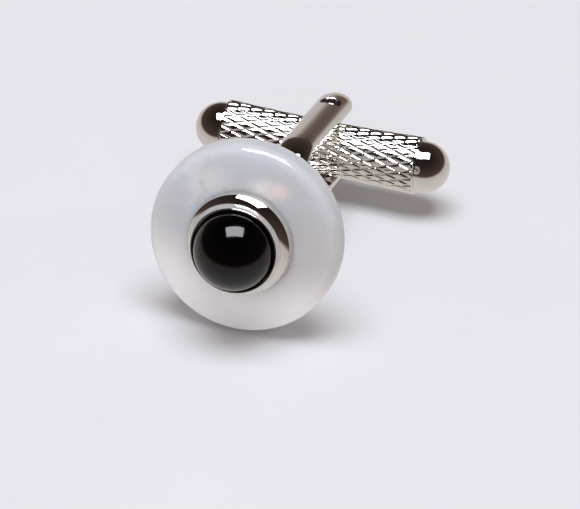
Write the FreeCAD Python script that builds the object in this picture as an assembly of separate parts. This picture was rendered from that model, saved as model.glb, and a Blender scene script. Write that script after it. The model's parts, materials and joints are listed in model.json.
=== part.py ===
"""Cufflink with a mother of pearl face, a set black stone and a knurled swivel toggle, lying on a table."""
import FreeCAD, Part
import math
import os

V = FreeCAD.Vector

# Driving dimensions in millimetres: pearl disc
disc_diameter = 14.0
disc_front_radius = 0.9
disc_crown_radius = 30.0
disc_back_depth = 1.7
disc_back_radius = 0.7

# Bezel and stone
ring_diameter = 7.7
ring_height = 0.62
ring_top_inset = 0.12
ring_edge_radius = 0.05
cup_diameter = 7.36
cup_height = 1.38
cup_floor = 0.65
cup_taper = 0.41
cup_edge_radius = 0.12
lip_height = 0.54
lip_taper = 0.08
lip_width = 0.16
stone_girdle = 0.45

# Back plate and clamp screw
plate_diameter = 9.0
plate_thickness = 0.8
plate_edge_radius = 0.3
boss_diameter = 4.8
boss_height = 0.6
boss_edge_radius = 0.2
screw_diameter = 1.6
screw_head_diameter = 3.0
screw_head_height = 0.4
screw_grip = 3.0
screw_tip_room = 0.2

# Fork: cuff_reach runs from the pivot axis to the back of the disc
cuff_reach = 19.8
prong_width = 2.8
prong_thickness = 1.0
prong_edge_radius = 0.5
prong_inner_radius = 0.12
tip_overhang = 0.8
stem_height = 3.0
cove_radius = 1.5
nest_room = 1.3
pocket_radius = 0.75
pocket_flat = 0.4
pocket_depth = 0.42
pocket_edge_radius = 0.08

# Toggle: the pivot stands off the toggle's axis, away from the disc
pivot_offset = 1.0
barrel_half_length = 7.45
barrel_end_diameter = 4.3
barrel_waist_diameter = 3.96
cap_diameter = 3.8
cap_neck = 0.3
flange_diameter = 4.2
flange_thickness = 0.15
spigot_diameter = 2.4
tenon_diameter = 1.5
tenon_length = 1.2
tenon_room = 0.2

# Pivot
ear_diameter = 1.7
plunger_diameter = 1.0
plunger_gap = 1.5
nose_diameter = 0.7
spring_diameter = 0.9
spring_wire = 0.14
spring_turns = 4

# Knurl on the toggle: diamond pads between crossed grooves
knurl_starts = 21
knurl_rows = 8
knurl_depth = 0.1
pad_share = 0.7

# Clearances
seat_clearance = 0.03
running_clearance = 0.04
toggle_clearance = 0.15
ear_clearance = 0.1
shoulder_clearance = 0.02
edge_tolerance = 0.01

# Worked out along the post, from the disc's widest plane towards the face
disc_radius = disc_diameter / 2
disc_edge_centre = disc_radius - disc_front_radius
crown_centre = -math.sqrt((disc_crown_radius - disc_front_radius) ** 2 - disc_edge_centre ** 2)
seat_level = crown_centre + math.sqrt(disc_crown_radius ** 2 - (ring_diameter / 2) ** 2)
ring_top = seat_level + ring_height
cup_top = ring_top + cup_height
floor_top = ring_top + cup_floor
back_level = -disc_back_depth
plate_back = back_level - plate_thickness
boss_back = plate_back - boss_height
screw_end = boss_back - screw_grip
face_distance = cuff_reach + disc_back_depth

# Worked out for the bezel: the stone fills the cup, inside its lip
shoulder_radius = cup_diameter / 2 - cup_taper
lip_outside = shoulder_radius - lip_taper
cup_inside = lip_outside - lip_width
stone_radius = cup_inside - seat_clearance

# Worked out for the fork, from the pivot
barrel_end_radius = barrel_end_diameter / 2
gap_half = barrel_end_radius + toggle_clearance
prong_outer = gap_half + prong_thickness
toggle_half_length = barrel_half_length + cap_neck + cap_diameter / 2
slot_depth = toggle_half_length + nest_room
bend_centre = slot_depth - gap_half
stem_end = face_distance + boss_back
tip_radius = prong_width / 2
tip_reach = tip_overhang + tip_radius
pocket_floor = prong_outer - pocket_depth

# Worked out for the toggle: the knurl runs from the middle to the flange of each cap
knurl_end = barrel_half_length - flange_thickness


def flat_wire(corners, to_point):
    """Closed wire through corners of (a, b), or of (a, b, radius) where a tangent arc rounds the corner."""
    points = [to_point(corner[0], corner[1]) for corner in corners]
    radii = [corner[2] if len(corner) > 2 else 0.0 for corner in corners]
    runs = []
    for index, here in enumerate(points):
        before = (here - points[index - 1]).normalize()
        after = (points[(index + 1) % len(points)] - here).normalize()
        turn = before.getAngle(after)
        cut = radii[index] * math.tan(turn / 2)
        start = here - before * cut
        end = here + after * cut
        inward = (after - before).normalize()
        middle = here + inward * (radii[index] / math.cos(turn / 2) - radii[index])
        runs.append((start, middle, end))
    edges = []
    for index, (start, middle, end) in enumerate(runs):
        if radii[index] > 0:
            edges.append(Part.Arc(start, middle, end).toShape())
        following = runs[(index + 1) % len(runs)][0]
        if end.distanceToPoint(following) > 1e-6:
            edges.append(Part.LineSegment(end, following).toShape())
    return Part.Wire(edges)


def turned(corners):
    """Turned piece: its half section of (radius, height) corners spun about the Z axis."""
    wire = flat_wire(corners, lambda radius, height: V(radius, 0, height))
    return Part.Face(wire).revolve(V(0, 0, 0), V(0, 0, 1), 360)


def rod(diameter, low, high):
    return Part.makeCylinder(diameter / 2, high - low, V(0, 0, low))


def on_post(shape):
    """From an upright piece, with its zero at the disc's widest plane, to its place on the post."""
    placed = shape.copy()
    placed.rotate(V(0, 0, 0), V(1, 0, 0), 90)
    placed.translate(V(0, -face_distance, 0))
    return placed


def on_toggle(shape, side):
    """From an upright piece, with its zero at the toggle's middle, to the right (1) or left (-1) half."""
    placed = shape.copy()
    placed.rotate(V(0, 0, 0), V(0, 1, 0), 90 * side)
    placed.translate(V(0, -pivot_offset, 0))
    return placed


def flipped(shape):
    placed = shape.copy()
    placed.rotate(V(0, 0, 0), V(1, 0, 0), 180)
    return placed


def pearl_disc():
    """Disc with a domed front, a full round on the front edge and a flat seat for the bezel."""
    lean = math.atan2(disc_edge_centre, -crown_centre)
    half_turn = (math.pi / 2 - lean) / 2
    back_centre = back_level + disc_back_radius
    slant = math.sqrt(0.5)

    def on_edge(angle):
        across = disc_front_radius * math.cos(angle)
        return V(disc_edge_centre + across, 0, disc_front_radius * math.sin(angle))

    def on_crown(radius):
        return V(radius, 0, crown_centre + math.sqrt(disc_crown_radius ** 2 - radius ** 2))

    bore = screw_diameter / 2 + seat_clearance
    seat_radius = ring_diameter / 2
    edge_end = on_edge(2 * half_turn)
    back_round = disc_radius - disc_back_radius * (1 - slant)
    edges = [
        Part.LineSegment(V(bore, 0, back_level), V(disc_radius - disc_back_radius, 0, back_level)),
        Part.Arc(V(disc_radius - disc_back_radius, 0, back_level),
                 V(back_round, 0, back_centre - disc_back_radius * slant), V(disc_radius, 0, back_centre)),
        Part.LineSegment(V(disc_radius, 0, back_centre), V(disc_radius, 0, 0)),
        Part.Arc(V(disc_radius, 0, 0), on_edge(half_turn), edge_end),
        Part.Arc(edge_end, on_crown((edge_end.x + seat_radius) / 2), on_crown(seat_radius)),
        Part.LineSegment(on_crown(seat_radius), V(bore, 0, seat_level)),
        Part.LineSegment(V(bore, 0, seat_level), V(bore, 0, back_level)),
    ]
    face = Part.Face(Part.Wire([edge.toShape() for edge in edges]))
    return on_post(face.revolve(V(0, 0, 0), V(0, 0, 1), 360))


def bezel_base_ring():
    bore = screw_diameter / 2 + seat_clearance
    radius = ring_diameter / 2
    return on_post(turned([
        (bore, seat_level),
        (radius, seat_level),
        (radius - ring_top_inset, ring_top, ring_edge_radius),
        (bore, ring_top),
    ]))


def bezel_cup():
    """Conical cup with a steep lip, which closes on the stone."""
    bore = screw_diameter / 2 + seat_clearance
    head_seat = screw_head_diameter / 2 + seat_clearance
    head_level = floor_top - screw_head_height
    shoulder = cup_top - lip_height
    return on_post(turned([
        (bore, ring_top),
        (cup_diameter / 2, ring_top),
        (shoulder_radius, shoulder, cup_edge_radius),
        (lip_outside, cup_top),
        (cup_inside, cup_top),
        (cup_inside, floor_top),
        (head_seat, floor_top),
        (head_seat, head_level),
        (bore, head_level),
    ]))


def onyx_cabochon():
    """Flat-backed stone: a straight girdle under a half-round dome."""
    girdle_top = floor_top + stone_girdle
    girdle = rod(2 * stone_radius, floor_top, girdle_top)
    dome = Part.makeSphere(stone_radius, V(0, 0, girdle_top), V(0, 0, 1), 0, 90)
    return on_post(girdle.fuse(dome).removeSplitter())


def back_plate():
    bore = screw_diameter / 2 + seat_clearance
    return on_post(turned([
        (bore, back_level),
        (bore, boss_back),
        (boss_diameter / 2, boss_back, boss_edge_radius),
        (boss_diameter / 2, plate_back),
        (plate_diameter / 2, plate_back, plate_edge_radius),
        (plate_diameter / 2, back_level),
    ]))


def clamp_screw():
    head_level = floor_top - screw_head_height
    return on_post(turned([
        (0, screw_end),
        (screw_diameter / 2, screw_end),
        (screw_diameter / 2, head_level),
        (screw_head_diameter / 2, head_level),
        (screw_head_diameter / 2, floor_top),
        (0, floor_top),
    ]))


def post_point(along, height):
    """Point in the fork's side view: along the post from the pivot to the face, and across the prongs."""
    return V(0, -along, height)


def fork_side():
    """Outer side view of the fork: prongs, round bend, coves and stem."""
    stem_half = stem_height / 2
    cove_reach = math.sqrt((prong_outer + cove_radius) ** 2 - (stem_half + cove_radius) ** 2)
    scale = prong_outer / (prong_outer + cove_radius)
    bend_turn = math.atan2(stem_half + cove_radius, cove_reach)
    bend_middle = (bend_turn + math.pi / 2) / 2
    cove_middle = (math.pi + bend_turn + 1.5 * math.pi) / 2

    def half(sign):
        on_bend = (bend_centre + cove_reach * scale, (stem_half + cove_radius) * scale)
        middle = (bend_centre + prong_outer * math.cos(bend_middle), prong_outer * math.sin(bend_middle))
        cove = (bend_centre + cove_reach + cove_radius * math.cos(cove_middle),
                stem_half + cove_radius + cove_radius * math.sin(cove_middle))
        spots = [(-tip_reach, prong_outer), (bend_centre, prong_outer), middle, on_bend, cove,
                 (bend_centre + cove_reach, stem_half), (stem_end, stem_half)]
        return [post_point(along, sign * height) for along, height in spots]

    edges = []
    for sign in (1, -1):
        tip, bend_start, middle, on_bend, cove, stem_start, foot = half(sign)
        edges.append(Part.LineSegment(tip, bend_start).toShape())
        edges.append(Part.Arc(bend_start, middle, on_bend).toShape())
        edges.append(Part.Arc(on_bend, cove, stem_start).toShape())
        edges.append(Part.LineSegment(stem_start, foot).toShape())
    edges.append(Part.LineSegment(half(1)[0], half(-1)[0]).toShape())
    edges.append(Part.LineSegment(half(1)[-1], half(-1)[-1]).toShape())
    return Part.Face(Part.Wire(Part.__sortEdges__(edges)))


def fork_blank():
    """Solid fork before the slot is cut: the side view extruded, with round tips and soft outer edges."""
    side = fork_side()
    side.translate(V(-prong_width / 2, 0, 0))
    plate = side.extrude(V(prong_width, 0, 0))
    tall = 2 * prong_outer
    length = stem_end + tip_overhang
    straight = Part.makeBox(prong_width, length, tall, V(-prong_width / 2, -stem_end, -prong_outer))
    tip = Part.makeCylinder(tip_radius, tall, V(0, tip_overhang, -prong_outer))
    blank = plate.common(straight.fuse(tip)).removeSplitter()
    soft = [edge for edge in blank.Edges if is_outer_edge(edge)]
    return blank.makeFillet(prong_edge_radius, soft)


def is_outer_edge(edge):
    """True on the long edges of the fork's side view and round the tips, not across the stem's foot."""
    middle = edge.valueAt((edge.FirstParameter + edge.LastParameter) / 2)
    start = edge.Vertexes[0].Point
    end = edge.Vertexes[-1].Point
    upright = abs(start.z - end.z) > prong_outer
    at_foot = abs(middle.y + stem_end) < edge_tolerance
    return not upright and not at_foot


def half_moon():
    """Pocket at the pivot: round towards the tip, straight towards the post."""
    disc = rod(2 * pocket_radius, pocket_floor, prong_outer + pocket_depth)
    keep = Part.makeBox(2 * pocket_radius, pocket_radius + pocket_flat, 4 * pocket_depth,
                        V(-pocket_radius, -pocket_flat, pocket_floor - pocket_depth))
    return disc.common(keep)


def toggle_fork():
    """Fork: the slot takes half of the toggle when it is turned in line with the post."""
    wide = 2 * prong_width
    past_tip = 2 * tip_reach
    corner = V(-prong_width, -bend_centre, -gap_half)
    slot = Part.makeBox(wide, bend_centre + past_tip, 2 * gap_half, corner)
    bend = Part.makeCylinder(gap_half, wide, V(-prong_width, -bend_centre, 0), V(1, 0, 0))
    nose_hole = rod(nose_diameter + 2 * running_clearance, 0, pocket_floor)
    screw_hole = on_post(rod(screw_diameter + 2 * seat_clearance, screw_end - screw_tip_room, boss_back))
    fork = fork_blank().cut(slot.fuse(bend).removeSplitter())
    fork = fork.makeFillet(prong_inner_radius, [edge for edge in fork.Edges if is_inner_edge(edge)])
    pocket = half_moon()
    fork = fork.cut(pocket).cut(flipped_up(pocket))
    fork = fork.makeFillet(pocket_edge_radius, [edge for edge in fork.Edges if is_pocket_rim(edge)])
    return fork.cut(nose_hole).cut(flipped_up(nose_hole)).cut(screw_hole)


def is_inner_edge(edge):
    """True on the slot's edges along the prongs, round their tips and round the bend, not across its seams."""
    middle = edge.valueAt((edge.FirstParameter + edge.LastParameter) / 2)
    on_seam = abs(middle.y + bend_centre) < edge_tolerance
    along_slot = abs(abs(middle.z) - gap_half) < edge_tolerance
    from_bend = math.hypot(middle.y + bend_centre, middle.z)
    round_bend = middle.y < -bend_centre and abs(from_bend - gap_half) < edge_tolerance
    return (along_slot or round_bend) and not on_seam


def is_pocket_rim(edge):
    """True on the mouth of a pocket, which lies above its floor and within its outline."""
    middle = edge.valueAt((edge.FirstParameter + edge.LastParameter) / 2)
    box = edge.BoundBox
    within = abs(middle.x) < pocket_radius + edge_tolerance and abs(middle.y) < pocket_radius + edge_tolerance
    lowest_point = min(abs(box.ZMin), abs(box.ZMax))
    return within and lowest_point > pocket_floor + pocket_edge_radius


def flipped_up(shape):
    """Mirror through the plane between the prongs."""
    return shape.mirror(V(0, 0, 0), V(0, 0, 1))


def toggle_hub():
    """Core of the toggle: a rod through both sleeves, with a tenon at each end and ears for the pivot."""
    spigots = rod(spigot_diameter, -knurl_end, knurl_end)
    tenon_reach = knurl_end + tenon_length
    tenons = rod(tenon_diameter, -tenon_reach, tenon_reach)
    core = on_toggle(spigots.fuse(tenons), 1)
    ear_reach = gap_half - ear_clearance
    ear = rod(ear_diameter, -ear_reach, ear_reach)
    bore = rod(plunger_diameter + 2 * seat_clearance, -ear_reach, ear_reach)
    return core.fuse(ear).removeSplitter().cut(bore)


def knurled_barrel(side):
    """Sleeve with diamond pads: crossed grooves run along the sides of every diamond."""
    step = knurl_end / knurl_rows
    half_pitch = math.pi / knurl_starts

    def outer(height):
        share = height / knurl_end
        return (barrel_waist_diameter + (barrel_end_diameter - barrel_waist_diameter) * share ** 2) / 2

    def point(row, turn, depth):
        height = row * step
        radius = outer(height) - depth
        return V(radius * math.cos(turn * half_pitch), radius * math.sin(turn * half_pitch), height)

    triangles = []
    ends = {0: [], knurl_rows: []}
    for row in range(knurl_rows + 1):
        for start in range(knurl_starts):
            turn = 2 * start + row % 2
            ways = [(0, -1), (1, 0), (0, 1), (-1, 0)]
            ways = [way for way in ways if 0 <= row + way[0] <= knurl_rows]
            roots = [point(row + rise, turn + swing, knurl_depth) for rise, swing in ways]
            tops = [point(row + rise * pad_share, turn + swing * pad_share, 0) for rise, swing in ways]
            open_side = row in ends
            if open_side:
                order = [0, 1, 2] if row == 0 else [1, 2, 0]
                roots = [roots[index] for index in order]
                tops = [tops[index] for index in order]
                ends[row].extend(end_corners(roots, tops, row == 0))
            last = len(roots) - 1 if open_side else len(roots)
            for index in range(last):
                after = (index + 1) % len(roots)
                triangles.append((roots[index], roots[after], tops[after]))
                triangles.append((roots[index], tops[after], tops[index]))
            triangles.append((tops[0], tops[1], tops[2]))
            if not open_side:
                triangles.append((tops[0], tops[2], tops[3]))
    faces = [Part.Face(Part.makePolygon([*corners, corners[0]])) for corners in triangles]
    for corners in ends.values():
        faces.append(Part.Face(Part.makePolygon([*corners, corners[0]])))
    shell = Part.makeShell(faces)
    shell.sewShape()
    body = Part.Solid(shell)
    bore = rod(spigot_diameter + 2 * seat_clearance, -step, barrel_half_length)
    ear_hole = rod(ear_diameter + 2 * seat_clearance, -prong_outer, prong_outer)
    return on_toggle(body.cut(bore), side).cut(ear_hole)


def end_corners(roots, tops, at_start):
    """Corners of one half pad on a flat end of the sleeve, in the order of the turn."""
    if at_start:
        return [roots[0], tops[0], tops[2]]
    return [roots[2], tops[2], tops[0]]


def end_cap(side):
    """Plain domed end on the core's tenon, with a flange that closes the sleeve."""
    radius = cap_diameter / 2
    neck_top = barrel_half_length + cap_neck
    flange = rod(flange_diameter, knurl_end, barrel_half_length)
    neck = rod(cap_diameter, knurl_end, neck_top)
    dome = Part.makeSphere(radius, V(0, 0, neck_top), V(0, 0, 1), 0, 90)
    hole = rod(tenon_diameter + 2 * seat_clearance, knurl_end, knurl_end + tenon_length + tenon_room)
    return on_toggle(flange.fuse([neck, dome]).removeSplitter().cut(hole), side)


def pivot_plunger():
    """Sprung pivot end: its shoulder bears on the prong and its nose turns in the prong's hole."""
    shoulder = gap_half - shoulder_clearance
    body = rod(plunger_diameter, plunger_gap / 2, shoulder)
    nose = rod(nose_diameter, shoulder, pocket_floor)
    return body.fuse(nose)


def pivot_spring():
    """Coil spring between the two plungers."""
    middle_radius = (spring_diameter - spring_wire) / 2
    length = plunger_gap - 2 * spring_wire
    path = Part.makeHelix(length / spring_turns, length, middle_radius)
    section = Part.Wire(Part.makeCircle(spring_wire / 2, V(middle_radius, 0, 0), V(0, 1, 0)))
    coil = Part.Wire(path).makePipeShell([section], True, True)
    coil.translate(V(0, 0, -length / 2))
    return coil


def resting_tilt():
    """Tilt of the post at which the disc's rim and the lower prong's tip, both rounded, touch the table."""
    along = face_distance - disc_back_depth + disc_back_radius + tip_reach - prong_edge_radius
    above = disc_radius - disc_back_radius - prong_outer + prong_edge_radius
    rounding = disc_back_radius - prong_edge_radius
    return math.atan2(above, along) + math.asin(rounding / math.hypot(above, along))


def laid_down(shapes):
    """Tilt every piece onto the table, with the origin under the middle of the whole."""
    tilt = resting_tilt()
    whole = Part.makeCompound(list(shapes.values()))
    whole.rotate(V(0, 0, 0), V(1, 0, 0), -math.degrees(tilt))
    box = whole.optimalBoundingBox(False, False)
    shift = V(-box.Center.x, -box.Center.y, -box.ZMin)
    placed = {}
    for name, shape in shapes.items():
        placed[name] = shape.copy()
        placed[name].rotate(V(0, 0, 0), V(1, 0, 0), -math.degrees(tilt))
        placed[name].translate(shift)
    print("pivot at", [round(value, 4) for value in shift])
    print("pin axis", [0.0, round(math.sin(tilt), 6), round(math.cos(tilt), 6)])
    print("post axis", [0.0, round(-math.cos(tilt), 6), round(math.sin(tilt), 6)])
    print("size", round(box.XLength, 3), round(box.YLength, 3), round(box.ZLength, 3))
    return placed


def main():
    plunger = pivot_plunger()
    shapes = {
        "pearl_disc": pearl_disc(),
        "bezel_base_ring": bezel_base_ring(),
        "bezel_cup": bezel_cup(),
        "onyx_cabochon": onyx_cabochon(),
        "back_plate": back_plate(),
        "clamp_screw": clamp_screw(),
        "toggle_fork": toggle_fork(),
        "toggle_hub": toggle_hub(),
        "pivot_plunger_upper": plunger,
        "pivot_plunger_lower": flipped(plunger),
        "pivot_spring": pivot_spring(),
    }
    for name, side in (("left", -1), ("right", 1)):
        shapes["knurled_barrel_" + name] = knurled_barrel(side)
        shapes["end_cap_" + name] = end_cap(side)
    os.makedirs("parts", exist_ok=True)
    for name, shape in laid_down(shapes).items():
        print(name, "valid", shape.isValid(), "solids", len(shape.Solids), "volume", round(shape.Volume, 3))
        shape.exportStep("parts/" + name + ".step")


main()
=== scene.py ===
"""Looks of the cufflink: mother of pearl face, set black stone, polished fork and knurled swivel toggle."""
import json
import math

import bmesh
import bpy
from mathutils import Matrix, Vector


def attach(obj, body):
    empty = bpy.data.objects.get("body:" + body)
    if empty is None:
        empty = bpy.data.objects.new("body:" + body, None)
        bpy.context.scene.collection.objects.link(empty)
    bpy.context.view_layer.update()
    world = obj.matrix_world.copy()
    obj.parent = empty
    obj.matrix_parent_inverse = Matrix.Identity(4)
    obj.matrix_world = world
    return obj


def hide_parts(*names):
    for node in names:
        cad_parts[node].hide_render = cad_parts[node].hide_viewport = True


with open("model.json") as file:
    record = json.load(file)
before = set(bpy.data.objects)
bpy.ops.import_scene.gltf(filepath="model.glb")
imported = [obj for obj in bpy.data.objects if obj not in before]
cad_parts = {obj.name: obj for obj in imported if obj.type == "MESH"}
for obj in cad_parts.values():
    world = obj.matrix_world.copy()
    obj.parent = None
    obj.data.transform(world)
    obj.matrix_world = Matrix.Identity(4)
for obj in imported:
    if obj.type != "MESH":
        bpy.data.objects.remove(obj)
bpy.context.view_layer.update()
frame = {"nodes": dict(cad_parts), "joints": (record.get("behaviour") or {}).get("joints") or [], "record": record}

MM = 0.001

# Face, in millimetres: heights run along the post, from the disc's widest plane towards the front
DISC_RADIUS = 7.0
DISC_FRONT_RADIUS = 0.9
DISC_CROWN_RADIUS = 30.0
DISC_BACK_DEPTH = 1.7
DISC_BACK_RADIUS = 0.7

# Bezel and stone: a ring, a collet that sweeps up from it into a thin lip, and a dome; slopes are in degrees
RING_RADIUS = 3.82
RING_HEIGHT = 0.62
RING_TOP_INSET = 0.06
RING_EDGE_RADIUS = 0.02
CUP_RADIUS = 3.74
CUP_HEIGHT = 1.38
CUP_FLOOR = 0.65
FLARE_LOW_SLOPE = 44.0
FLARE_HIGH_SLOPE = 81.0
FLARE_WIDTH = 0.53
LIP_TAPER = 0.02
LIP_WIDTH = 0.16
LIP_EDGE_RADIUS = 0.075
STONE_GIRDLE = 0.33
DOME_INSET = 0.06
SEAT_CLEARANCE = 0.03
BORE_RADIUS = 0.83
HEAD_SEAT_RADIUS = 1.53
HEAD_DEPTH = 0.4

# Fork: its prongs are crowned across their width, and each has a half-moon pocket over the pivot
CUFF_REACH = 19.8
GAP_HALF = 2.3
PRONG_HALF_WIDTH = 1.3
PRONG_THICKNESS = 1.0
PRONG_CROWN = 0.75
PRONG_INNER_RADIUS = 0.12
TIP_OVERHANG = 1.33
TIP_FULLNESS = 0.55
BEND_CENTRE = 8.65
STEM_HALF_HEIGHT = 1.5
STEM_END = 18.4
COVE_RADIUS = 1.5
POCKET_RADIUS = 0.75
POCKET_FLAT = 0.4
POCKET_DEPTH = 0.42
POCKET_FLOOR_RADIUS = 0.64
POCKET_EDGE_RADIUS = 0.11
POCKET_EDGE_SWEEP = 75.0
NOSE_HOLE_RADIUS = 0.39

# Toggle: its axis stands off the pivot, towards the disc
PIVOT_OFFSET = 1.0
BAR_END = 7.45
BAR_WAIST_RADIUS = 1.98
BAR_END_RADIUS = 2.15
CORE_RADIUS = 1.23
FLANGE_RADIUS = 2.1
FLANGE_THICKNESS = 0.15
FLANGE_EDGE_RADIUS = 0.03
CAP_RADIUS = 1.9
CAP_NECK = 0.3
TENON_HOLE_RADIUS = 0.78
TENON_HOLE_DEPTH = 1.4
KNURL_STARTS = 21
KNURL_ROWS = 8
KNURL_DEPTH = 0.1
KNURL_STEPS = 12
GROOVE_SHARE = 0.2
PAD_CROWN = 0.008

# Fineness of the meshes: steps round and along their forms, the angle of a sharp edge, and the weld
SPIN_STEPS = 192
ARC_STEPS = 8
CROWN_STEPS = 24
TIP_STEPS = 16
BEND_STEPS = 48
STEM_SIDE_STEPS = 12
SHARP_ANGLE = 35.0
WELD = 0.0001

# Camera of the photograph: angles in degrees, lengths in millimetres, clipping in metres
CAMERA_AZIMUTH = 14.56
CAMERA_ELEVATION = 30.31
CAMERA_ROLL = 3.82
CAMERA_AIM = (1.63, -2.38, 2.37)
CAMERA_DISTANCE = 554.6
CAMERA_LENS = 478.1
SENSOR_WIDTH = 36.0
CLIP_NEAR = 0.05
CLIP_FAR = 20.0

# Light: directions are shares of the camera's right, up and back, and sizes are in metres
KEY_TOWARDS = (0.02, 0.785, 0.62)
KEY_DISTANCE = 1.0
KEY_SIZE = (0.78, 0.53)
KEY_RADIANCE = 6.4
KEY_TINT = (0.96, 0.985, 1.04)
SHEEN_DISTANCE = 0.97
SHEEN_RADIANCE = 3.0
CARD_TOWARDS = (-0.2, -0.3, 0.93)
CARD_SIZE = (0.8, 0.5)
CARD_RADIANCE = 1.2
TABLE_UP = (0.0, 0.695, 0.719)
TABLE_HALF = 3.0
PALE = (0.80, 0.79, 0.83)
AMBIENT = (0.33, 0.28, 0.25)

# Room that the polished surfaces show, from straight down (-1) to straight up (1)
ROOM = [
    (-1.0, (0.66, 0.64, 0.63)),
    (-0.5, (0.60, 0.57, 0.555)),
    (-0.16, (0.52, 0.48, 0.46)),
    (-0.066, (0.178, 0.137, 0.119)),
    (0.02, (0.068, 0.046, 0.039)),
    (0.5, (0.038, 0.026, 0.023)),
    (1.0, (0.014, 0.010, 0.009)),
]

# Painted light on the shell: the ways of its painted warm light and painted bounce light, and patches with a
# centre and a reach in millimetres: its own cloud, a painted glint and a painted rose sheen
PAINTED_WARM_LIGHT_WAY = (0.3, 0.0, -0.95)
PAINTED_WARM_LIGHT_CHANGE = (-0.3, 0.3)
PAINTED_BOUNCE_LIGHT_WAY = (-0.15, 0.0, -0.99)
PAINTED_BOUNCE_LIGHT_SPAN = (-0.1, 0.75)
CLOUD = ((-3.2, -22.7, 3.6), (3.6, 3.0, 3.4))
PAINTED_GLINT = ((1.4, -22.7, 4.25), (1.8, 2.0, 1.0))
PAINTED_ROSE_SHEEN = ((2.2, -22.7, 4.2), (1.5, 2.0, 0.95))

# Tones of the materials, some as stops of a ramp
# Shell tones from cool to warm: a random drift, plus painted cool light at the top and painted warm light below
SHELL_TONES = [
    (0.15, (0.62, 0.65, 0.70)),
    (0.50, (0.59, 0.595, 0.61)),
    (0.85, (0.66, 0.64, 0.62)),
]
# Painted bounce light: the tone the shell is painted towards its lower rim
PAINTED_BOUNCE_LIGHT_TONE = (0.98, 0.95, 0.935)
CLOUD_TONE = (0.76, 0.765, 0.775)
# Painted white glint on the shell's face
PAINTED_GLINT_TONE = (0.92, 0.91, 0.905)
# Painted rose sheen: a pink highlight on the shell's face
PAINTED_ROSE_SHEEN_TONE = (0.84, 0.73, 0.72)
ONYX_TONES = [(0.35, (0.0002, 0.0002, 0.0003)), (0.75, (0.0007, 0.0006, 0.0007))]
TABLE_TONES = [(0.3, (0.77, 0.785, 0.825)), (0.7, (0.79, 0.805, 0.845))]
PLATING_TONE = (0.86, 0.835, 0.80)
STEEL_TONE = (0.62, 0.60, 0.58)
METAL_SHADE = 0.94

edge_centre = DISC_RADIUS - DISC_FRONT_RADIUS
crown_centre = -math.sqrt((DISC_CROWN_RADIUS - DISC_FRONT_RADIUS) ** 2 - edge_centre ** 2)
seat_level = crown_centre + math.sqrt(DISC_CROWN_RADIUS ** 2 - RING_RADIUS ** 2)
ring_top = seat_level + RING_HEIGHT
floor_top = ring_top + CUP_FLOOR
cup_top = ring_top + CUP_HEIGHT
shoulder_radius = CUP_RADIUS - FLARE_WIDTH
lip_outside = shoulder_radius - LIP_TAPER
cup_inside = lip_outside - LIP_WIDTH
stone_radius = cup_inside - SEAT_CLEARANCE
face_distance = CUFF_REACH + DISC_BACK_DEPTH
knurl_end = BAR_END - FLANGE_THICKNESS
prong_outer = GAP_HALF + PRONG_THICKNESS


def cufflink_frame():
    """Place of the cufflink's own axes: X along the toggle, -Y towards the face, Z along the pivot pin."""
    pivot = frame["joints"][0]
    pin = Vector(pivot["axis"]).normalized()
    back = Vector(frame["record"]["mounts"][0]["axis"]).normalized()
    toggle = back.cross(pin).normalized()
    turn = Matrix((toggle, back, pin)).transposed()
    return Matrix.Translation(Vector(pivot["pos_m"])) @ turn.to_4x4()


own_axes = cufflink_frame()


def rounded(corners):
    """Closed outline of (radius, height) points, with an arc at each (radius, height, rounding) corner."""
    outline = []
    count = len(corners)
    for index, corner in enumerate(corners):
        here = Vector(corner[:2])
        rounding = corner[2] if len(corner) > 2 else 0.0
        if rounding == 0.0:
            outline.append(here)
            continue
        before = (Vector(corners[index - 1][:2]) - here).normalized()
        after = (Vector(corners[(index + 1) % count][:2]) - here).normalized()
        half = before.angle(after) / 2
        centre = here + (before + after).normalized() * (rounding / math.sin(half))
        start = here + before * (rounding / math.tan(half)) - centre
        end = here + after * (rounding / math.tan(half)) - centre
        sweep = start.angle_signed(end)
        for step in range(ARC_STEPS + 1):
            angle = -sweep * step / ARC_STEPS
            outline.append(centre + Matrix.Rotation(angle, 2) @ start)
    return outline


def steps(start, end, count):
    """Even steps from one value to another, with both ends."""
    return [start + (end - start) * step / count for step in range(count + 1)]


def arc(centre, radius, start, end, count):
    """Points on a circle from one angle to another, in degrees."""
    across, up = centre
    turns = [math.radians(angle) for angle in steps(start, end, count)]
    return [Vector((across + radius * math.cos(turn), up + radius * math.sin(turn))) for turn in turns]


def on_post(radius, height, angle):
    """Place on a form turned about the post."""
    return Vector((radius * math.cos(angle), -(face_distance + height), radius * math.sin(angle)))


def on_toggle(side):
    """Way to place points on a form turned about the toggle, counted outwards on one side."""
    def place(radius, height, angle):
        back, up = radius * math.cos(angle), radius * math.sin(angle)
        return Vector((side * height, back - PIVOT_OFFSET, side * up))
    return place


def welded(name, shapes):
    """Mesh in metres from (points, faces) shapes in the cufflink's own axes, welded, faces outwards."""
    build = bmesh.new()
    for points, faces in shapes:
        corners = [build.verts.new(point * MM) for point in points]
        for face in faces:
            build.faces.new([corners[index] for index in face])
    bmesh.ops.remove_doubles(build, verts=build.verts, dist=WELD * MM)
    bmesh.ops.recalc_face_normals(build, faces=build.faces)
    mesh = bpy.data.meshes.new(name)
    build.to_mesh(mesh)
    build.free()
    return mesh


def placed(name, mesh):
    """Object of a mesh, in the cufflink's own axes."""
    made = bpy.data.objects.new(name, mesh)
    bpy.context.scene.collection.objects.link(made)
    made.matrix_world = own_axes
    return made


def piece(name, mesh, nodes, body, material, sharp=True):
    """New smooth piece that stands for CAD nodes and moves with a body."""
    mesh.shade_smooth()
    if sharp:
        mesh.set_sharp_from_angle(angle=math.radians(SHARP_ANGLE))
    mesh.materials.clear()
    mesh.materials.append(material)
    made = placed(name, mesh)
    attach(made, body)
    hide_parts(*nodes)


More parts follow.
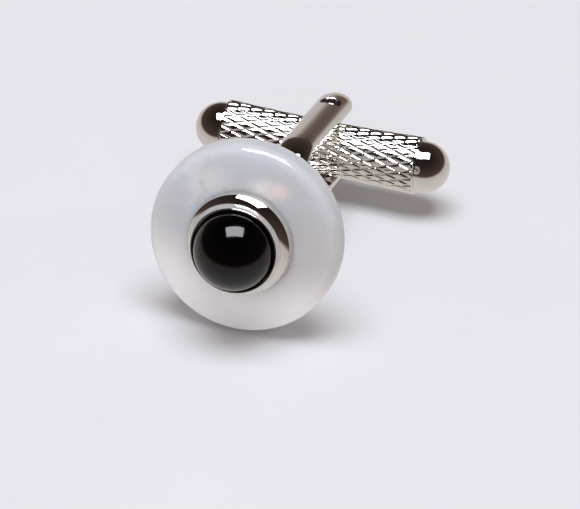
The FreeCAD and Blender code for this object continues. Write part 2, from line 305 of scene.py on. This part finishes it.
def carved(name, shapes, cutters):
    """Mesh of the shapes with the cutters' shapes taken out."""
    block = placed(name, welded(name, shapes))
    tools = [placed(name + "_cutter", welded(name + "_cutter", [cutter])) for cutter in cutters]
    for tool in tools:
        cut = block.modifiers.new("cut", "BOOLEAN")
        cut.operation = "DIFFERENCE"
        cut.solver = "EXACT"
        cut.object = tool
    evaluated = block.evaluated_get(bpy.context.evaluated_depsgraph_get())
    mesh = bpy.data.meshes.new_from_object(evaluated)
    for done in (block, *tools):
        bpy.data.objects.remove(done)
    return mesh


def spun(outline, place):
    """Points and faces of a closed outline spun once round, with poles where it meets the axis."""
    points = []
    rings = []
    for radius, height in outline:
        if radius < WELD:
            rings.append([len(points)] * SPIN_STEPS)
            points.append(place(0.0, height, 0.0))
            continue
        rings.append(list(range(len(points), len(points) + SPIN_STEPS)))
        points.extend(place(radius, height, 2 * math.pi * step / SPIN_STEPS) for step in range(SPIN_STEPS))
    faces = []
    for index, ring in enumerate(rings):
        following = rings[(index + 1) % len(rings)]
        if len(set(ring)) == 1 and len(set(following)) == 1:
            continue
        for step in range(SPIN_STEPS):
            after = (step + 1) % SPIN_STEPS
            corners = [ring[step], ring[after], following[after], following[step]]
            faces.append(list(dict.fromkeys(corners)))
    return points, faces


def pearl_face(material):
    """Disc with a faintly crowned front, a broad round on its front edge and a bore."""
    lean = math.degrees(math.atan2(edge_centre, -crown_centre))
    seat_angle = math.degrees(math.acos(RING_RADIUS / DISC_CROWN_RADIUS))
    back_centre = (DISC_RADIUS - DISC_BACK_RADIUS, DISC_BACK_RADIUS - DISC_BACK_DEPTH)
    outline = [Vector((BORE_RADIUS, -DISC_BACK_DEPTH)), Vector((DISC_RADIUS / 2, -DISC_BACK_DEPTH))]
    outline += arc(back_centre, DISC_BACK_RADIUS, -90, 0, 3 * ARC_STEPS)
    outline += arc((edge_centre, 0.0), DISC_FRONT_RADIUS, 0, 90 - lean, 4 * ARC_STEPS)
    outline += arc((0.0, crown_centre), DISC_CROWN_RADIUS, 90 - lean, seat_angle, 2 * ARC_STEPS)[1:]
    outline += [Vector((BORE_RADIUS, seat_level))]
    mesh = welded("pearl_face", [spun(outline, on_post)])
    piece("pearl_face", mesh, ["pearl_disc"], "head", material)


def bezel_step(material):
    """Low ring of the bezel, on the disc."""
    outline = rounded([
        (BORE_RADIUS, seat_level),
        (RING_RADIUS, seat_level),
        (RING_RADIUS - RING_TOP_INSET, ring_top, RING_EDGE_RADIUS),
        (BORE_RADIUS, ring_top),
    ])
    mesh = welded("bezel_step", [spun(outline, on_post)])
    piece("bezel_step", mesh, ["bezel_base_ring"], "head", material)


def flare():
    """Hollow sweep of the collet: shallow at its foot and steep where it runs into the lip."""
    low, high = math.radians(FLARE_LOW_SLOPE), math.radians(FLARE_HIGH_SLOPE)
    radius = FLARE_WIDTH / (math.sin(high) - math.sin(low))
    points = []
    for slope in steps(low, high, 3 * ARC_STEPS):
        inwards = radius * (math.sin(slope) - math.sin(low))
        upwards = radius * (math.cos(low) - math.cos(slope))
        points.append((CUP_RADIUS - inwards, ring_top + upwards))
    return points


def bezel_collet(material):
    """Collet that holds the stone, with a seat for the clamp screw's head."""
    outline = rounded([
        (BORE_RADIUS, ring_top),
        *flare(),
        (lip_outside, cup_top, LIP_EDGE_RADIUS),
        (cup_inside, cup_top, LIP_EDGE_RADIUS),
        (cup_inside, floor_top),
        (HEAD_SEAT_RADIUS, floor_top),
        (HEAD_SEAT_RADIUS, floor_top - HEAD_DEPTH),
        (BORE_RADIUS, floor_top - HEAD_DEPTH),
    ])
    mesh = welded("bezel_collet", [spun(outline, on_post)])
    piece("bezel_collet", mesh, ["bezel_cup"], "head", material)


def black_stone(material):
    """Cabochon: a girdle inside the collet and a dome, a little smaller, over it."""
    girdle_top = floor_top + STONE_GIRDLE
    dome_radius = stone_radius - DOME_INSET
    outline = [Vector((0.0, floor_top))]
    outline += [Vector((stone_radius, level)) for level in (floor_top, girdle_top)]
    outline += arc((0.0, girdle_top), dome_radius, 0, 90, 6 * ARC_STEPS)[:-1]
    outline += [Vector((0.0, girdle_top + dome_radius))]
    mesh = welded("black_stone", [spun(outline, on_post)])
    piece("black_stone", mesh, ["onyx_cabochon"], "head", material)


def prong_half(crown=PRONG_CROWN):
    """Half of a prong's section, from the middle of its crown to the middle of its flat: (across, depth)."""
    quarter = arc((0.0, 0.0), 1.0, 90, 0, CROWN_STEPS)
    half = [(PRONG_HALF_WIDTH * across, crown * (1 - rise)) for across, rise in quarter]
    inner = (PRONG_HALF_WIDTH - PRONG_INNER_RADIUS, PRONG_THICKNESS - PRONG_INNER_RADIUS)
    half += [tuple(point) for point in arc(inner, PRONG_INNER_RADIUS, 0, 90, ARC_STEPS)]
    half[0] = (0.0, 0.0)
    return half + [(0.0, PRONG_THICKNESS)]


def mirrored(half):
    """Closed section from its half."""
    return half + [(-across, depth) for across, depth in reversed(half[1:-1])]


def tube(loops):
    """Points and faces of a skin over loops with the same count of points."""
    count = len(loops[0])
    points = [point for loop in loops for point in loop]
    faces = []
    for row in range(len(loops) - 1):
        for step in range(count):
            after = (step + 1) % count
            here, there = row * count, (row + 1) * count
            faces.append([here + step, here + after, there + after, there + step])
    return points, faces


def capped(loops):
    """Skin over loops, closed by a face over the first and one over the last."""
    points, faces = tube(loops)
    count = len(loops[0])
    last = len(points) - count
    return points, faces + [list(range(count)), list(range(last, last + count))]


def fork_bow():
    """Both prongs and the bend between them, as one bar that follows a U."""
    reach = [(along, 90.0) for along in steps(-TIP_OVERHANG, POCKET_RADIUS, TIP_STEPS)]
    reach += [(along, 90.0) for along in steps(POCKET_RADIUS, BEND_CENTRE, ARC_STEPS)[1:]]
    bend = [(BEND_CENTRE, turn) for turn in steps(90.0, -90.0, BEND_STEPS)[1:-1]]
    way = reach + bend + [(along, -turn) for along, turn in reversed(reach)]
    section = mirrored(prong_half())

    def point(along, turn, across, depth):
        radius = prong_outer - depth
        turned = math.radians(turn)
        return Vector((across, -along - radius * math.cos(turned), radius * math.sin(turned)))

    return tube([[point(along, turn, *spot) for spot in section] for along, turn in way])


def fork_tip(side):
    """Round end of a prong: half of its section spun about an upright axis, and fuller towards the end."""
    rows = []
    for turn in steps(0.0, math.pi, BEND_STEPS):
        half = prong_half(PRONG_CROWN * (1 - TIP_FULLNESS * math.sin(turn) ** 2))
        rows.append([Vector((across * math.cos(turn), TIP_OVERHANG + across * math.sin(turn),
                             side * (prong_outer - depth))) for across, depth in half])
    points = [point for row in rows for point in row]
    count = len(rows[0])
    faces = []
    for row in range(len(rows) - 1):
        for step in range(count - 1):
            here = row * count + step
            corners = [here, here + 1, here + count + 1, here + count]
            if step == 0:
                corners = [here, here + 1, here + count + 1]
            if step == count - 2:
                corners = [here, here + 1, here + count]
            faces.append(corners)
    return points, faces


def stem_loop(crest):
    """Loop round the stem: a crown above and one below, and side walls that keep clear of the slot."""
    edge_across, edge_along, edge_height = crest[-1]
    upper = [Vector((across, -along, height)) for across, along, height in crest]
    lower = [Vector((point.x, point.y, -point.z)) for point in reversed(upper)]
    right = []
    for height in steps(edge_height, -edge_height, STEM_SIDE_STEPS)[1:-1]:
        bend_edge = math.sqrt(max(0.0, (prong_outer - PRONG_CROWN) ** 2 - height ** 2))
        right.append(Vector((edge_across, -max(edge_along, BEND_CENTRE + bend_edge), height)))
    left = [Vector((-point.x, point.y, point.z)) for point in reversed(right)]
    return upper + right + lower + left


def fork_stem():
    """Stem that grows out of the bend through a cove on either side."""
    centre = STEM_HALF_HEIGHT + COVE_RADIUS
    reach = math.sqrt((prong_outer + COVE_RADIUS) ** 2 - centre ** 2)
    start = math.degrees(math.atan2(centre, reach))
    half = prong_half()[:CROWN_STEPS + 1]
    crown = [(-across, depth) for across, depth in reversed(half[1:])] + half

    def cove(turn, depth):
        radius = COVE_RADIUS + depth
        turned = math.radians(turn)
        return BEND_CENTRE + reach + radius * math.cos(turned), centre + radius * math.sin(turned)

    loops = []
    for turn in steps(180.0 + start, 270.0, 3 * ARC_STEPS):
        loops.append([(across, *cove(turn, depth)) for across, depth in crown])
    loops.append([(across, STEM_END, STEM_HALF_HEIGHT - depth) for across, depth in crown])
    points, faces = tube([stem_loop(crest) for crest in loops])
    count = len(points) // len(loops)
    faces.append(list(range(len(points) - count, len(points))))
    crown_count, side_count = len(crown), STEM_SIDE_STEPS - 1
    faces.append(list(range(crown_count)))
    faces.append(list(range(crown_count + side_count, 2 * crown_count + side_count)))
    rights = list(range(crown_count - 1, crown_count + side_count + 1))
    lefts = [0] + list(range(count - 1, 2 * crown_count + side_count - 2, -1))
    for step in range(STEM_SIDE_STEPS):
        faces.append([lefts[step], rights[step], rights[step + 1], lefts[step + 1]])
    return points, faces


def crown_depth(across):
    """How far the prong's crown falls at a distance from its middle."""
    return PRONG_CROWN * (1 - math.sqrt(1 - (across / PRONG_HALF_WIDTH) ** 2))


def half_moon(side):
    """Cutter for a pocket with a soft rim: scooped towards the tip, and straight towards the post."""
    levels = []
    for turn in steps(0.0, math.radians(POCKET_EDGE_SWEEP), ARC_STEPS):
        grow = POCKET_EDGE_RADIUS * (1 - math.cos(turn))
        levels.append((POCKET_EDGE_RADIUS * (math.sin(turn) - 1), grow))

    def rim(radius, flat, height):
        corner = math.degrees(math.asin(flat / radius))
        outline = arc((0.0, 0.0), radius, -corner, 180 + corner, BEND_STEPS)
        return [Vector((x, y, side * height(x))) for x, y in outline]

    loops = [rim(POCKET_FLOOR_RADIUS, POCKET_FLAT, lambda x: prong_outer - POCKET_DEPTH)]
    for level, grow in levels:
        radius, flat = POCKET_RADIUS + grow, POCKET_FLAT + grow
        loops.append(rim(radius, flat, lambda x: prong_outer - crown_depth(x) + level))
    spread = 3 * POCKET_EDGE_RADIUS
    above = prong_outer + 2 * POCKET_EDGE_RADIUS
    loops.append(rim(POCKET_RADIUS + spread, POCKET_FLAT + spread, lambda x: above))
    return capped(loops)


def nose_hole(side):
    """Cutter for the hole in a prong that the pivot's nose turns in."""
    rim = arc((0.0, 0.0), NOSE_HOLE_RADIUS, 0, 360, BEND_STEPS)[:-1]
    return capped([[Vector((x, y, side * level)) for x, y in rim] for level in (GAP_HALF / 2, prong_outer)])


def crowned_fork(material):
    """Fork: prongs with their pockets and holes cut out, and the stem."""
    cutters = [cutter(side) for side in (1, -1) for cutter in (half_moon, nose_hole)]
    mesh = carved("crowned_fork", [fork_bow(), fork_tip(1), fork_tip(-1)], cutters)
    build = bmesh.new()
    build.from_mesh(mesh)
    stem = welded("fork_stem", [fork_stem()])
    build.from_mesh(stem)
    build.to_mesh(mesh)
    build.free()
    piece("crowned_fork", mesh, ["toggle_fork"], "head", material)


def domed_end(side, name, material):
    """Domed cap with the flange that closes the knurled bar."""
    neck_top = BAR_END + CAP_NECK
    hole_end = knurl_end + TENON_HOLE_DEPTH
    outline = rounded([
        (TENON_HOLE_RADIUS, hole_end),
        (TENON_HOLE_RADIUS, knurl_end),
        (FLANGE_RADIUS, knurl_end, FLANGE_EDGE_RADIUS),
        (FLANGE_RADIUS, BAR_END, FLANGE_EDGE_RADIUS),
        (CAP_RADIUS, BAR_END),
    ])
    outline += arc((0.0, neck_top), CAP_RADIUS, 0, 90, 5 * ARC_STEPS)[:-1]
    outline += [Vector((0.0, neck_top + CAP_RADIUS)), Vector((0.0, hole_end))]
    mesh = welded("domed_end_" + name, [spun(outline, on_toggle(side))])
    piece("domed_end_" + name, mesh, ["end_cap_" + name], "toggle", material)


def bar_radius(height):
    """Radius of the bar, which swells from its waist to its ends."""
    share = height / knurl_end
    return BAR_WAIST_RADIUS + (BAR_END_RADIUS - BAR_WAIST_RADIUS) * share ** 2


def knurl_depth(rise, swing):
    """Depth under the bar's outline: grooves run along both families of diagonals, between crowned pads."""
    nearest = 1.0
    for across in (rise + swing, rise - swing):
        place = (across / (2 * KNURL_STEPS)) % 1.0
        nearest = min(nearest, place, 1.0 - place)
    groove = max(0.0, 1.0 - nearest / GROOVE_SHARE)
    crown = 1.0 - 2 * nearest
    return KNURL_DEPTH * groove + PAD_CROWN * crown ** 2


def knurled_bar(material):
    """Bar built on the knurl's own diagonals, so that every groove is a clean line."""
    place = on_toggle(1)
    rises = 2 * KNURL_ROWS * KNURL_STEPS
    swings = 2 * KNURL_STARTS * KNURL_STEPS
    step = 2 * knurl_end / rises
    index = {}
    points = []
    for rise in range(rises + 1):
        height = rise * step - knurl_end
        for swing in range(rise % 2, swings, 2):
            radius = bar_radius(height) - knurl_depth(rise, swing)
            index[rise, swing] = len(points)
            points.append(place(radius, height, 2 * math.pi * swing / swings))
    faces = []
    for rise in range(rises - 1):
        for swing in range(rise % 2, swings, 2):
            right = index[rise + 1, (swing + 1) % swings]
            left = index[rise + 1, (swing - 1) % swings]
            faces.append([index[rise, swing], right, index[rise + 2, swing], left])
    bores = []
    for rise, height in ((0, -knurl_end), (rises, knurl_end)):
        inner = 1 if rise == 0 else rises - 1
        bore = list(range(len(points), len(points) + swings // 2))
        points.extend(place(CORE_RADIUS, height, 4 * math.pi * turn / swings) for turn in range(swings // 2))
        bores.append(bore)
        for turn in range(swings // 2):
            after = (turn + 1) % (swings // 2)
            here, beside = index[rise, 2 * turn], index[rise, 2 * after]
            ring = [bore[turn], bore[after], beside, here]
            edge = [here, beside, index[inner, 2 * turn + 1]]
            faces.extend([ring, edge] if rise == 0 else [ring[::-1], edge[::-1]])
    low, high = bores
    for turn in range(len(low)):
        after = (turn + 1) % len(low)
        faces.append([low[turn], high[turn], high[after], low[after]])
    nodes = ["knurled_barrel_left", "knurled_barrel_right"]
    mesh = welded("knurled_bar", [(points, faces)])
    piece("knurled_bar", mesh, nodes, "toggle", material, sharp=False)


class Graph:
    """Nodes of a material or of the world, with short names for the kinds used here."""

    def __init__(self, tree):
        self.nodes = tree.nodes
        self.links = tree.links

    def place(self):
        """Place in the piece's own axes, in metres."""
        return self.nodes.new("ShaderNodeTexCoord").outputs["Object"]

    def noise(self, place, scale, detail=4.0, roughness=0.5, distortion=0.0):
        made = self.nodes.new("ShaderNodeTexNoise")
        made.inputs["Scale"].default_value = scale
        made.inputs["Detail"].default_value = detail
        made.inputs["Roughness"].default_value = roughness
        made.inputs["Distortion"].default_value = distortion
        self.links.new(place, made.inputs["Vector"])
        return made.outputs["Fac"]

    def ramp(self, value, stops):
        """Colour ramp from a list of (position, colour)."""
        made = self.nodes.new("ShaderNodeValToRGB")
        elements = made.color_ramp.elements
        while len(elements) < len(stops):
            elements.new(0.5)
        for element, (position, colour) in zip(elements, stops):
            element.position = position
            element.color = (*colour, 1.0)
        self.links.new(value, made.inputs["Fac"])
        return made.outputs["Color"]

    def spread(self, value, source, target):
        """A value carried smoothly from one range to another."""
        made = self.nodes.new("ShaderNodeMapRange")
        made.interpolation_type = "SMOOTHSTEP"
        made.inputs["From Min"].default_value, made.inputs["From Max"].default_value = source
        made.inputs["To Min"].default_value, made.inputs["To Max"].default_value = target
        self.links.new(value, made.inputs["Value"])
        return made.outputs["Result"]

    def along(self, place, way):
        """How far a place lies along a direction."""
        made = self.nodes.new("ShaderNodeVectorMath")
        made.operation = "DOT_PRODUCT"
        self.links.new(place, made.inputs[0])
        made.inputs[1].default_value = way
        return made.outputs["Value"]

    def near(self, place, patch):
        """1 at the centre of a patch, falling to 0 at its reaches, both in millimetres."""
        spot, reach = patch
        away = self.nodes.new("ShaderNodeVectorMath")
        away.operation = "SUBTRACT"
        self.links.new(place, away.inputs[0])
        away.inputs[1].default_value = Vector(spot) * MM
        share = self.nodes.new("ShaderNodeVectorMath")
        share.operation = "DIVIDE"
        self.links.new(away.outputs["Vector"], share.inputs[0])
        share.inputs[1].default_value = Vector(reach) * MM
        distance = self.nodes.new("ShaderNodeVectorMath")
        distance.operation = "LENGTH"
        self.links.new(share.outputs["Vector"], distance.inputs[0])
        return self.spread(distance.outputs["Value"], (0.0, 1.0), (1.0, 0.0))

    def sums(self, kind, first, second):
        """Two values added or multiplied."""
        made = self.nodes.new("ShaderNodeMath")
        made.operation = kind
        self.links.new(first, made.inputs[0])
        self.links.new(second, made.inputs[1])
        return made.outputs["Value"]

    def mixed(self, share, below, colour):
        """One colour laid over another by a share, through the mix node's numbered colour sockets."""
        made = self.nodes.new("ShaderNodeMix")
        made.data_type = "RGBA"
        self.links.new(share, made.inputs["Factor"])
        self.links.new(below, made.inputs[6])
        made.inputs[7].default_value = (*colour, 1.0)
        return made.outputs[2]

    def bumped(self, height, strength, distance, shader):
        """Gives a shader a fine unevenness."""
        bump = self.nodes.new("ShaderNodeBump")
        bump.inputs["Strength"].default_value = strength
        bump.inputs["Distance"].default_value = distance
        self.links.new(height, bump.inputs["Height"])
        self.links.new(bump.outputs["Normal"], shader.inputs["Normal"])


def new_material(name):
    """New material, its nodes and its shader."""
    material = bpy.data.materials.new(name)
    material.use_nodes = True
    return material, Graph(material.node_tree), material.node_tree.nodes["Principled BSDF"]


def mother_of_pearl():
    """Shell with a mottled cloud, and painted light: cool at its top and warm below, brighter low down, a painted
    white glint and a painted rose sheen.
    """
    material, graph, shader = new_material("mother_of_pearl")
    place = graph.place()
    radius = DISC_RADIUS * MM
    drift = graph.noise(place, scale=220.0, distortion=0.7)
    # Painted light: cooler towards the top, warmer towards the bottom
    painted_warm_light = graph.spread(graph.along(place, PAINTED_WARM_LIGHT_WAY), (-radius, radius), PAINTED_WARM_LIGHT_CHANGE)
    colour = graph.ramp(graph.sums("ADD", drift, painted_warm_light), SHELL_TONES)
    # Painted bounce light: brighter towards the lower rim
    painted_bounce_span = [share * radius for share in PAINTED_BOUNCE_LIGHT_SPAN]
    painted_bounce_light = graph.spread(graph.along(place, PAINTED_BOUNCE_LIGHT_WAY), painted_bounce_span, (0.0, 1.0))
    colour = graph.mixed(painted_bounce_light, colour, PAINTED_BOUNCE_LIGHT_TONE)
    mottle_noise = graph.noise(place, scale=650.0, detail=5.0, roughness=0.6, distortion=0.6)
    mottle = graph.spread(mottle_noise, (0.42, 0.64), (0.0, 0.8))
    cloud = graph.sums("MULTIPLY", graph.near(place, CLOUD), mottle)
    colour = graph.mixed(cloud, colour, CLOUD_TONE)
    # Painted glint and painted rose sheen, broken up by a noise
    painted_sheen_veil_noise = graph.noise(place, scale=800.0, roughness=0.55, distortion=1.0)
    painted_sheen_veil = graph.spread(painted_sheen_veil_noise, (0.32, 0.58), (0.45, 1.0))
    for patch, tone in ((PAINTED_GLINT, PAINTED_GLINT_TONE), (PAINTED_ROSE_SHEEN, PAINTED_ROSE_SHEEN_TONE)):
        veiled_painted_sheen = graph.sums("MULTIPLY", graph.near(place, patch), painted_sheen_veil)
        colour = graph.mixed(veiled_painted_sheen, colour, tone)
    graph.links.new(colour, shader.inputs["Base Color"])
    grain = graph.noise(place, scale=900.0, detail=3.0)
    graph.links.new(graph.spread(grain, (0.3, 0.7), (0.02, 0.045)), shader.inputs["Roughness"])
    shader.inputs["Specular IOR Level"].default_value = 0.4
    shader.inputs["Subsurface Weight"].default_value = 0.8
    shader.inputs["Subsurface Radius"].default_value = (1.0, 0.95, 0.9)
    shader.inputs["Subsurface Scale"].default_value = 0.002
    shader.inputs["Coat Weight"].default_value = 0.1
    shader.inputs["Coat Roughness"].default_value = 0.015
    graph.bumped(grain, 0.015, 0.0001, shader)
    return material


def onyx():
    """Black stone with a high, slightly uneven polish."""
    material, graph, shader = new_material("onyx")
    place = graph.place()
    depth = graph.noise(place, scale=500.0, detail=3.0, roughness=0.6, distortion=0.8)
    graph.links.new(graph.ramp(depth, ONYX_TONES), shader.inputs["Base Color"])
    polish = graph.noise(place, scale=1500.0, detail=2.0)
    graph.links.new(graph.spread(polish, (0.3, 0.7), (0.07, 0.11)), shader.inputs["Roughness"])
    shader.inputs["IOR"].default_value = 1.54
    shader.inputs["Specular IOR Level"].default_value = 0.4
    return material


def metal(name, tone, roughness_range):
    """Bare metal: its tone drifts a little, and its polish is uneven."""
    material, graph, shader = new_material(name)
    place = graph.place()
    darker = tuple(METAL_SHADE * value for value in tone)
    shade = graph.ramp(graph.noise(place, scale=700.0, detail=3.0), [(0.3, darker), (0.7, tone)])
    graph.links.new(shade, shader.inputs["Base Color"])
    shader.inputs["Metallic"].default_value = 1.0
    polish = graph.noise(place, scale=2500.0, roughness=0.6)
    graph.links.new(graph.spread(polish, (0.3, 0.75), roughness_range), shader.inputs["Roughness"])
    graph.bumped(graph.noise(place, scale=1200.0, detail=2.0), 0.03, 0.00002, shader)
    return material


def table_top():
    """Pale table; polished surfaces see the lower part of the room in its place."""
    material, graph, shader = new_material("table_top")
    weave = graph.noise(graph.place(), scale=60.0, detail=3.0)
    graph.links.new(graph.ramp(weave, TABLE_TONES), shader.inputs["Base Color"])
    shader.inputs["Roughness"].default_value = 0.6
    shader.inputs["Specular IOR Level"].default_value = 0.2
    mesh = bpy.data.meshes.new("table_top")
    corners = [(x * TABLE_HALF, y * TABLE_HALF, 0) for x, y in ((-1, -1), (1, -1), (1, 1), (-1, 1))]
    mesh.from_pydata(corners, [], [(0, 1, 2, 3)])
    mesh.materials.append(material)
    floor = bpy.data.objects.new("table_top", mesh)
    bpy.context.scene.collection.objects.link(floor)
    floor.visible_glossy = False


def camera():
    """The photograph's camera; returns how it is turned."""
    made = bpy.data.objects.new("camera", bpy.data.cameras.new("camera"))
    bpy.context.scene.collection.objects.link(made)
    around, above = math.radians(CAMERA_AZIMUTH), math.radians(CAMERA_ELEVATION)
    back = Vector((math.sin(around) * math.cos(above), -math.cos(around) * math.cos(above), math.sin(above)))
    level = (-back).to_track_quat("-Z", "Y").to_matrix()
    turn = level @ Matrix.Rotation(math.radians(CAMERA_ROLL), 3, "Z")
    eye = (Vector(CAMERA_AIM) + back * CAMERA_DISTANCE) * MM
    made.matrix_world = Matrix.Translation(eye) @ turn.to_4x4()
    made.data.sensor_width = SENSOR_WIDTH
    made.data.lens = CAMERA_LENS
    made.data.clip_start = CLIP_NEAR
    made.data.clip_end = CLIP_FAR
    bpy.context.scene.camera = made
    return turn


def softbox(name, turn, towards, distance, size, radiance):
    """Area lamp that looks at the cufflink from a direction in the camera's right, up and back."""
    lamp = bpy.data.lights.new(name, "AREA")
    lamp.shape = "RECTANGLE"
    lamp.size, lamp.size_y = size
    lamp.energy = radiance * math.pi * size[0] * size[1]
    lamp.color = KEY_TINT
    made = bpy.data.objects.new(name, lamp)
    bpy.context.scene.collection.objects.link(made)
    away = (turn @ Vector(towards)).normalized()
    across = turn.col[0] - away * away.dot(turn.col[0])
    across.normalize()
    up = away.cross(across)
    place = Matrix((across, up, away)).transposed().to_4x4()
    made.matrix_world = Matrix.Translation(away * distance) @ place
    return made


def room(turn):
    """World: pale to the camera, even to matt surfaces, and to polished ones a dim room over a pale table."""
    world = bpy.data.worlds.new("room")
    bpy.context.scene.world = world
    world.use_nodes = True
    graph = Graph(world.node_tree)
    around = graph.nodes["Background"]
    direction = graph.nodes.new("ShaderNodeTexCoord").outputs["Generated"]
    height = graph.along(direction, turn @ Vector(TABLE_UP))
    share = graph.nodes.new("ShaderNodeMapRange")
    share.inputs["From Min"].default_value = -1.0
    graph.links.new(height, share.inputs["Value"])
    stops = [((level + 1) / 2, colour) for level, colour in ROOM]
    graph.links.new(graph.ramp(share.outputs["Result"], stops), around.inputs["Color"])
    rays = graph.nodes.new("ShaderNodeLightPath")
    seen = around.outputs["Background"]
    for kind, colour in (("Is Diffuse Ray", AMBIENT), ("Is Camera Ray", PALE)):
        plain = graph.nodes.new("ShaderNodeBackground")
        plain.inputs["Color"].default_value = (*colour, 1.0)
        choice = graph.nodes.new("ShaderNodeMixShader")
        graph.links.new(rays.outputs[kind], choice.inputs["Fac"])
        graph.links.new(seen, choice.inputs[1])
        graph.links.new(plain.outputs["Background"], choice.inputs[2])
        seen = choice.outputs["Shader"]
    graph.links.new(seen, graph.nodes["World Output"].inputs["Surface"])


def studio(turn):
    """One softbox over the table, whose second lamp adds gloss alone, and a low card that fills the face."""
    room(turn)
    softbox("key_softbox", turn, KEY_TOWARDS, KEY_DISTANCE, KEY_SIZE, KEY_RADIANCE)
    sheen = softbox("key_sheen", turn, KEY_TOWARDS, SHEEN_DISTANCE, KEY_SIZE, SHEEN_RADIANCE)
    sheen.visible_diffuse = False
    card = softbox("front_card", turn, CARD_TOWARDS, KEY_DISTANCE, CARD_SIZE, CARD_RADIANCE)
    card.visible_glossy = False


def dress_node(name, material):
    """Gives a CAD node its material."""
    for slot in frame["nodes"][name].material_slots:
        slot.material = material


plating = metal("polished_metal", PLATING_TONE, (0.02, 0.05))
steel = metal("steel", STEEL_TONE, (0.18, 0.30))
pearl_face(mother_of_pearl())
bezel_step(plating)
bezel_collet(plating)
black_stone(onyx())
crowned_fork(plating)
knurled_bar(plating)
for side, name in ((-1, "left"), (1, "right")):
    domed_end(side, name, plating)
for name in ("toggle_hub", "back_plate"):
    dress_node(name, plating)
for name in ("clamp_screw", "pivot_plunger_upper", "pivot_plunger_lower", "pivot_spring"):
    dress_node(name, steel)
table_top()
studio(camera())
bpy.context.scene.view_settings.view_transform = "Standard"
